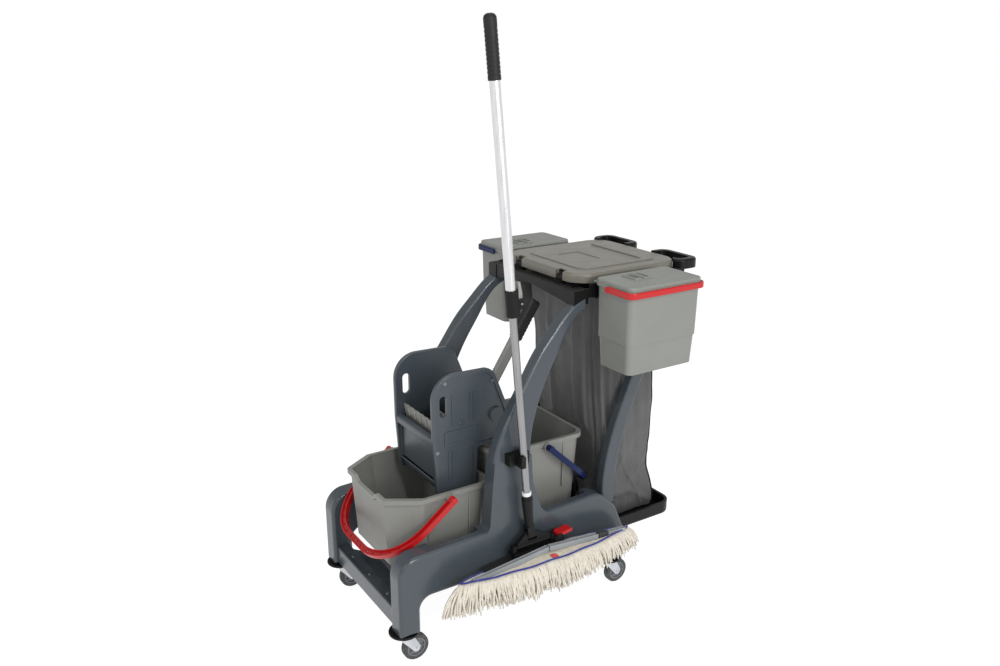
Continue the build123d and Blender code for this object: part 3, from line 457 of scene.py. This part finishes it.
def loop_point(front, rear, half, radius, share):
    """Point and outward direction on a rounded rectangle; share runs 0 to 1 from the front's middle
    to the near side first."""
    straight_x = rear - front - 2 * radius
    straight_y = 2 * half - 2 * radius
    arc = math.pi * radius / 2
    lengths = [straight_y / 2, arc, straight_x, arc, straight_y, arc, straight_x, arc, straight_y / 2]
    run = share * sum(lengths)
    starts = [
        (Vector((front, 0)), Vector((0, -1)), Vector((-1, 0))),
        (Vector((front + radius, -half + radius)), 180, None),
        (Vector((front + radius, -half)), Vector((1, 0)), Vector((0, -1))),
        (Vector((rear - radius, -half + radius)), 270, None),
        (Vector((rear, -half + radius)), Vector((0, 1)), Vector((1, 0))),
        (Vector((rear - radius, half - radius)), 0, None),
        (Vector((rear - radius, half)), Vector((-1, 0)), Vector((0, 1))),
        (Vector((front + radius, half - radius)), 90, None),
        (Vector((front, half - radius)), Vector((0, -1)), Vector((-1, 0))),
    ]
    for length, (origin, direction, out) in zip(lengths, starts):
        if run <= length + 1e-12:
            if out is None:
                turn = math.radians(direction + 90 * run / length)
                away = Vector((math.cos(turn), math.sin(turn)))
                return origin + away * radius, away
            return origin + direction * run, out
        run -= length
    return Vector((front, 0)), Vector((-1, 0))


def fold(x, centre, width, depth):
    """One soft fold: a ridge with a valley beside it."""
    t = (x - centre) / width
    return depth * math.exp(-t * t) * (1 - 0.9 * t)


# share round the bag, width and depth of each long fold that hangs from the hoop
LONG_FOLDS = (
    (0.055, 0.010, 0.0035), (0.098, 0.008, 0.0045), (0.128, 0.0075, -0.0065), (0.165, 0.008, 0.0055),
    (0.186, 0.009, -0.0085), (0.232, 0.010, 0.0040), (0.285, 0.012, -0.0030), (0.335, 0.009, 0.0035),
    (0.43, 0.010, 0.003), (0.52, 0.012, -0.0035), (0.60, 0.010, 0.0035), (0.70, 0.011, 0.0030),
    (0.76, 0.008, -0.0045), (0.86, 0.009, 0.0045), (0.94, 0.012, 0.003),
)
# slant, height and depth of each slumped crease above the tray
LOW_CREASES = (
    (2.1, 0.262, 0.0050), (-1.6, 0.330, 0.0045), (1.1, 0.395, 0.0035), (-2.4, 0.290, 0.0040),
    (0.6, 0.236, 0.0035),
)
# most that the cloth stands in and out from its plain form, and how far the bail holds it back
MOST_IN = -0.019
MOST_OUT = 0.0095
BAIL_PRESS = 0.0135


def bag_offset(share, z, place, out):
    """How far the cloth stands out from its plain form."""
    height = smoothstep(0.30, 0.62, z)
    top = 1 - smoothstep(0.93, 0.985, z)
    wander = 0.006 * math.sin(9 * z + 1.3)
    offset = 0.0
    for centre, width, depth in LONG_FOLDS:
        ridge = 1.7 * fold(share + wander, centre, width, depth)
        offset += ridge * (0.35 + 0.65 * height) * (0.4 + 0.6 * top)
    low = (1 - smoothstep(0.30, 0.50, z)) * smoothstep(0.205, 0.235, z)
    for slant, at, depth in LOW_CREASES:
        line = at + slant * 0.10 * math.sin(2 * math.pi * (share * 2.5 + at * 3))
        t = (z - line) / 0.014
        offset += depth * math.exp(-t * t) * (1 - 0.8 * t) * low
    # soft crumple everywhere
    seed = Vector((place.x * 9, place.y * 9, z * 6))
    offset += 0.0070 * noise.noise(seed) * top * (1.2 - 0.4 * height)
    seed = Vector((place.x * 26, place.y * 26, z * 17 + 4.0))
    offset += 0.0028 * noise.noise(seed) * top
    # the rear bucket's bail comes to rest against this part of the front
    pressed = smoothstep(0.27, 0.33, z) * (1 - smoothstep(0.48, 0.54, z)) * max(-out.x, 0.0)
    return min(max(offset, MOST_IN), MOST_OUT - BAIL_PRESS * pressed)


def bag_point(share, z, lift=0.0):
    """Point on the cloth, or at the distance lift outside it."""
    front, rear, half, radius = blend_rows(BAG_ROWS, z)
    place, out = loop_point(front, rear, half, radius, share)
    offset = bag_offset(share, z, place, out) + lift
    return Vector((place.x + out.x * offset, place.y + out.y * offset, z))


def make_bag():
    """Fabric bag: one lofted, folded shell with a floor."""
    vertices = []
    for i in range(BAG_UP + 1):
        z = BAG_FOOT + (BAG_TOP - BAG_FOOT) * (i / BAG_UP) ** 1.15
        vertices += [bag_point(k / BAG_AROUND, z) for k in range(BAG_AROUND)]
    faces = ring_faces(BAG_UP, BAG_AROUND)
    centre = Vector((0.35, 0, BAG_FOOT))
    previous = list(range(BAG_AROUND))
    for share in (0.92, 0.75, 0.5, 0.25):
        ring = []
        for k in range(BAG_AROUND):
            ring.append(len(vertices))
            point = centre.lerp(vertices[k], share)
            vertices.append(Vector((point.x, point.y, BAG_FOOT)))
        for k in range(BAG_AROUND):
            n = (k + 1) % BAG_AROUND
            faces.append((ring[k], ring[n], previous[n], previous[k]))
        previous = ring
    vertices.append(centre)
    for k in range(BAG_AROUND):
        faces.append((len(vertices) - 1, previous[(k + 1) % BAG_AROUND], previous[k]))
    bag = piece("waste_bag_cloth", vertices, faces, bag_fabric)
    outward(bag)
    thicken(bag, "cloth_thickness", CLOTH_THICK, -1.0)
    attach(bag, "chassis")
    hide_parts("waste_bag")
    return bag


def bag_trim():
    """Piping down the two rear corners and a hem band round the top, following the cloth."""
    low, high, steps = 0.212, 0.975, 70
    vertices, faces = [], []
    for share in (SEAM_SHARE, 1 - SEAM_SHARE):
        path = [bag_point(share, low + (high - low) * i / steps) for i in range(steps + 1)]
        for point in path:
            away = Vector((0.6, -0.8 if point.y < 0 else 0.8, 0))
            point += away * CLOTH_THICK
        tube_mesh(path, 0.0026, 8, vertices, faces)
    piping = piece("waste_bag_piping", vertices, faces, hem_tape)
    low, high, rows = 0.958, 0.986, 6
    vertices = []
    for i in range(rows + 1):
        z = low + (high - low) * i / rows
        lift = 0.0014 + 0.0006 * math.sin(math.pi * i / rows)
        vertices += [bag_point(k / BAG_AROUND, z, lift) for k in range(BAG_AROUND)]
    hem = piece("waste_bag_hem", vertices, ring_faces(rows, BAG_AROUND), hem_tape)
    outward(hem)
    thicken(hem, "tape_thickness", CLOTH_THICK, 1.0)
    for trim in (piping, hem):
        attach(trim, "chassis")
    return [piping, hem]


# ---------------------------------------------------------------- mop cover

random.seed(817)
# near edge of the canvas
TIPS_X = (-0.378, 0.220)
TIP_Y, MIDDLE_Y = -0.318, -0.362
TIP_Z, MIDDLE_Z = 0.2580, 0.2655
# underside of the wings: highest where they meet, and lower by WING_DROP at each wing's reach
WINGS_MEET_X, WINGS_MEET_Z = -0.086, 0.2735
WING_DROP = 0.026
LEFT_REACH, RIGHT_REACH = 0.26, 0.293
WING_FRONT_Y = -0.336
# room that the yarn may take, and its radius along the near edge and tips, the far edge and the underside
FRINGE_X = (-0.492, 0.272)
FRINGE_Y = (-0.409, -0.272)
FRINGE_FOOT = 0.1715
NEAR_YARN, FAR_YARN, UNDER_YARN = 0.0029, 0.0022, 0.0024
YARN_TAPER = (0.9, 1.05, 1.12, 1.1, 1.0, 0.55)
DOWN = Vector((0, 0, -1))


def stripe_point(t):
    """Navy edge on the near side; t runs 0 to 1 from the left tip to the right tip."""
    x = TIPS_X[0] + t * (TIPS_X[1] - TIPS_X[0])
    y = TIP_Y + (MIDDLE_Y - TIP_Y) * math.sin(math.pi * t) ** 0.8
    z = TIP_Z + (MIDDLE_Z - TIP_Z) * (1 - abs(2 * t - 0.93) ** 1.35)
    return Vector((x, y, z + 0.0012 * math.sin(31 * t)))


def far_point(t):
    """Far edge, tucked behind the wings."""
    near = stripe_point(t)
    bow = math.sin(math.pi * t) ** 0.6
    return Vector((near.x, -0.312 + 0.030 * bow, near.z - 0.004))


def cover_point(t, s):
    """Cover's cloth: s runs 0 to 1 from the near edge to the far one."""
    point = stripe_point(t).lerp(far_point(t), s)
    belly = math.sin(math.pi * s) * math.sin(math.pi * t) ** 0.7
    point.z += 0.0035 * belly + 0.0012 * noise.noise(Vector((t * 30, s * 6, 0)))
    return point


def wing_floor(x):
    """Height of the wings' underside at x."""
    reach = LEFT_REACH if x < WINGS_MEET_X else RIGHT_REACH
    return WINGS_MEET_Z - WING_DROP * abs(x - WINGS_MEET_X) / reach


def make_canvas():
    """Canvas stretched under the wings."""
    along, across = 150, 22
    vertices = []
    for i in range(along + 1):
        for k in range(across + 1):
            point = cover_point(0.004 + 0.992 * i / along, k / across)
            if point.y > WING_FRONT_Y:
                point.z = min(point.z, wing_floor(point.x) - 0.0012)
            vertices.append(point)
    canvas = piece("mop_cover_canvas", vertices, grid_faces(along, across), cotton_canvas)
    thicken(canvas, "canvas_thickness", 0.0016, 0.0)
    return canvas


def make_edge_tape():
    """Navy tape along both edges of the canvas."""
    steps = 120
    vertices, faces = [], []
    near = (stripe_point, Vector((0, -0.0015, 0.0012)), 0.0028)
    far = (far_point, Vector((0, 0.001, -0.001)), 0.0024)
    for edge, shift, radius in (near, far):
        path = [edge(i / steps) + shift for i in range(steps + 1)]
        tube_mesh(path, radius, 8, vertices, faces)
    return piece("mop_edge_tape", vertices, faces, navy_tape)


def make_tag():
    """Small red tag sewn on the near edge."""
    cells = 6
    vertices = []
    for i in range(cells + 1):
        for k in range(cells + 1):
            point = cover_point(0.475 + 0.036 * i / cells, 0.02 + 0.22 * k / cells)
            vertices.append(point + Vector((0, -0.001, 0.0030 + 0.0006 * math.sin(i + k))))
    tag = piece("mop_size_tag", vertices, grid_faces(cells, cells), red_tape)
    thicken(tag, "tag_thickness", 0.0012, -1.0)
    return tag


def make_cover():
    """Canvas cover under the wings, its navy edge tape, red tag and cotton fringe."""
    cover = make_canvas()
    trims = [make_edge_tape(), make_tag(), make_fringe()]
    for made in [cover] + trims:
        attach(made, "mop_head")
    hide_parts("mop_cover")
    return cover, trims


def strand(start, out, length, vertices, faces, radius):
    """One cotton yarn: leaves along out, falls, and frays to a thinner end."""
    steps = len(YARN_TAPER) - 1
    path = []
    sway = Vector((random.gauss(0, 0.0035), random.gauss(0, 0.0025), 0))
    curl = random.uniform(0, 2 * math.pi)
    direction = out.normalized()
    point = start.copy()
    for i in range(steps + 1):
        path.append(point.copy())
        t = (i + 1) / steps
        heading = (direction * (1 - 0.75 * t) + DOWN * (0.35 + 0.75 * t)).normalized()
        point = point + heading * (length / steps) + sway * (0.3 + 0.7 * t) * 0.5
        point.x += 0.0022 * math.sin(curl + 5.5 * t)
    for point in path:
        point.x = min(max(point.x, FRINGE_X[0]), FRINGE_X[1])
        point.y = min(max(point.y, FRINGE_Y[0]), FRINGE_Y[1])
        point.z = max(point.z, FRINGE_FOOT)
    tube_mesh(path, radius, 5, vertices, faces, YARN_TAPER)


def fan(t):
    """How far a yarn at t leans toward the nearer tip."""
    lean = (t - 0.5) * 1.5
    return math.copysign(abs(lean) ** 3.0, lean) * 1.6


def near_yarns(vertices, faces):
    """Layers of yarn along the near edge, shorter toward the right."""
    layers, count = 5, 300
    for layer in range(layers):
        for i in range(count):
            t = (i + random.random() * 0.9) / count
            start = stripe_point(t) + Vector((0, 0.001 + 0.0025 * layer, -0.0025 - 0.002 * layer))
            sideways = fan(t) + random.gauss(0, 0.12)
            forward = -0.62 + 0.17 * layer + random.gauss(0, 0.08)
            out = Vector((sideways, forward, -0.35 - 0.15 * layer))
            length = 0.079 - 0.014 * smoothstep(0.35, 0.9, t) + random.gauss(0, 0.006) - 0.002 * layer
            length += 0.016 * noise.noise(Vector((t * 11, layer * 0.3, 0)))
            strand(start, out, length, vertices, faces, NEAR_YARN)


def far_yarns(vertices, faces):
    """Layers of yarn along the far edge."""
    layers, count = 2, 220
    for layer in range(layers):
        for i in range(count):
            t = (i + random.random() * 0.9) / count
            start = far_point(t) + Vector((0, -0.002 - 0.004 * layer, -0.003))
            out = Vector((fan(t) + random.gauss(0, 0.12), 0.10 - 0.2 * layer, -0.9))
            strand(start, out, 0.074 + random.gauss(0, 0.005), vertices, faces, FAR_YARN)


def tip_yarns(vertices, faces):
    """Yarns that spread past the two tips, longer at the left one."""
    for end, sign, stretch in ((0.0, -1, 1.15), (1.0, 1, 0.74)):
        for _ in range(90):
            share = random.random()
            start = stripe_point(end).lerp(far_point(end), share * 1.6 - 0.3)
            start += Vector((-sign * random.random() * 0.03, 0, -0.003))
            sideways = sign * (1.6 + random.random())
            out = Vector((sideways, random.gauss(-0.15, 0.3), -0.2 - random.random() * 0.8))
            length = 0.092 + random.gauss(0, 0.007)
            strand(start, out, length * stretch, vertices, faces, NEAR_YARN)


def under_yarns(vertices, faces):
    """Yarns hanging from the canvas itself."""
    for _ in range(420):
        t = 0.04 + 0.92 * random.random()
        start = cover_point(t, 0.12 + 0.76 * random.random()) - Vector((0, 0, 0.004))
        start.z = min(start.z, wing_floor(start.x) - 0.006)
        out = Vector((random.gauss(0, 0.3), random.gauss(0, 0.3), -1))
        strand(start, out, 0.058 + random.gauss(0, 0.006), vertices, faces, UNDER_YARN)


def make_fringe():
    """Cotton fringe: yarn all round the cover's edge and across its underside."""
    vertices, faces = [], []
    near_yarns(vertices, faces)
    far_yarns(vertices, faces)
    tip_yarns(vertices, faces)
    under_yarns(vertices, faces)
    return piece("mop_fringe", vertices, faces, cotton_yarn)


# ---------------------------------------------------------------- small parts

STAFF_FOOT = Vector((-0.134, -0.298, 0.334))
STAFF_LEAN = math.radians(-5.3)
JAW_FOOT = Vector((-0.291, 0, 0.452))
JAW_LEAN = math.radians(-10)
JAW_PITCH = 0.030
RIDGE_RADIUS = 0.0046


def lathe(name, profile, origin, axis, material, sides=40):
    """Closed ring of revolution: profile is (radius, height) round axis from origin."""
    turn = Vector((0, 0, 1)).rotation_difference(axis)
    vertices, faces = [], []
    for k in range(sides):
        angle = 2 * math.pi * k / sides
        for radius, height in profile:
            point = Vector((radius * math.cos(angle), radius * math.sin(angle), height))
            vertices.append(origin + turn @ point)
    count = len(profile)
    for k in range(sides):
        for i in range(count):
            a = k * count + i
            b = k * count + (i + 1) % count
            c = (k + 1) % sides * count
            faces.append((a, b, c + (i + 1) % count, c + i))
    made = piece(name, vertices, faces, material)
    outward(made)
    return made


def tube_ferrule():
    """White ring at the foot of the mop's lower tube."""
    axis = Vector((math.sin(STAFF_LEAN), 0, math.cos(STAFF_LEAN)))
    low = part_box("mop_socket")[1].z - STAFF_FOOT.z + 0.0012
    profile = [(0.0112, low), (0.0132, low + 0.0008), (0.0136, low + 0.0020), (0.0136, low + 0.0110),
               (0.0131, low + 0.0124), (0.0112, low + 0.0130)]
    ring = lathe("mop_tube_ring", profile, STAFF_FOOT, axis, white_plastic)
    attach(ring, "mop_staff")


def jaw_ridges():
    """Forward ridges of the corrugated front jaw, where it stands above the front panel."""
    low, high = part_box("wringer_front_jaw")
    upward = Vector((math.sin(JAW_LEAN), 0, math.cos(JAW_LEAN)))
    start = (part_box("wringer_front_panel")[1].z + 0.004 - JAW_FOOT.z) / upward.z
    end = (high.z - JAW_FOOT.z) / upward.z - 0.004
    count = int((high.y - low.y) // JAW_PITCH)
    vertices, faces = [], []
    for step in range(1, count):
        foot = JAW_FOOT + Vector((0, low.y + step * (high.y - low.y) / count, 0))
        path = [foot + upward * (start + (end - start) * i / 8) for i in range(9)]
        tube_mesh(path, RIDGE_RADIUS, 12, vertices, faces)
    ridges = piece("wringer_jaw_ridges", vertices, faces, pale_plastic)
    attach(ridges, "wringer")


# ---------------------------------------------------------------- studio and camera

def area_light(name, place, target, size, energy):
    """Soft white light at place, turned toward target."""
    data = bpy.data.lights.new(name, "AREA")
    data.shape = "RECTANGLE"
    data.size, data.size_y = size
    data.energy = energy
    made = bpy.data.objects.new(name, data)
    bpy.context.scene.collection.objects.link(made)
    made.location = place
    made.rotation_euler = (Vector(target) - Vector(place)).to_track_quat("-Z", "Y").to_euler()


def studio():
    """White room, pale floor and soft lights."""
    world = bpy.data.worlds.new("studio_world")
    bpy.context.scene.world = world
    world.use_nodes = True
    tree = world.node_tree
    direction = tree.nodes.new("ShaderNodeTexCoord").outputs["Generated"]
    split = tree.nodes.new("ShaderNodeSeparateXYZ")
    tree.links.new(direction, split.inputs[0])
    height = tree.nodes.new("ShaderNodeMapRange")
    for name, number in zip(("From Min", "From Max", "To Min", "To Max"), (0.12, 0.34, 1.0, 0.46)):
        height.inputs[name].default_value = number
    tree.links.new(split.outputs["Z"], height.inputs["Value"])
    background = tree.nodes["Background"]
    background.inputs["Color"].default_value = (1.0, 1.0, 1.0, 1.0)
    tree.links.new(height.outputs["Result"], background.inputs["Strength"])
    floor_look = Nodes("studio_floor")
    tone = floor_look.noise(0.8, 2.0)
    floor_look.colour(floor_look.mix(tone, (0.20, 0.20, 0.20, 1), (0.22, 0.22, 0.22, 1)))
    floor_look.set(Roughness=1.0, Specular_IOR_Level=0.0, Emission_Color=(1, 1, 1, 1), Emission_Strength=0.93)
    edge = 40
    floor = piece("studio_floor", [(-edge, -edge, 0), (edge, -edge, 0), (edge, edge, 0), (-edge, edge, 0)],
                  [(0, 1, 2, 3)], floor_look.material, False)
    area_light("key_light", (-0.1, -3.6, 2.0), (0, 0, 0.5), (1.8, 1.6), 66)
    area_light("spark_light", (-0.9, -2.5, 2.8), (0, 0, 0.5), (0.16, 0.16), 22)
    area_light("side_light", (-2.8, -1.0, 2.4), (0, 0, 0.5), (0.7, 0.7), 14)
    area_light("top_light", (0.2, 0.2, 4.4), (0.1, 0, 0.8), (2.4, 2.0), 36)
    bpy.context.scene.view_settings.view_transform = "Standard"


def camera():
    """Camera at the photograph's viewing angle."""
    data = bpy.data.cameras.new("photo_camera")
    data.lens = 32.76
    data.sensor_width = 36.0
    data.clip_end = 60.0
    made = bpy.data.objects.new("photo_camera", data)
    bpy.context.scene.collection.objects.link(made)
    made.location = (-1.474, -2.219, 1.673)
    made.rotation_euler = Euler((math.radians(72.6), 0, math.radians(-32.8)))
    bpy.context.scene.camera = made


camera()
studio()
finish_nodes()
bag = make_bag()
trims = bag_trim()
cover, edge_pieces = make_cover()
tube_ferrule()
jaw_ridges()
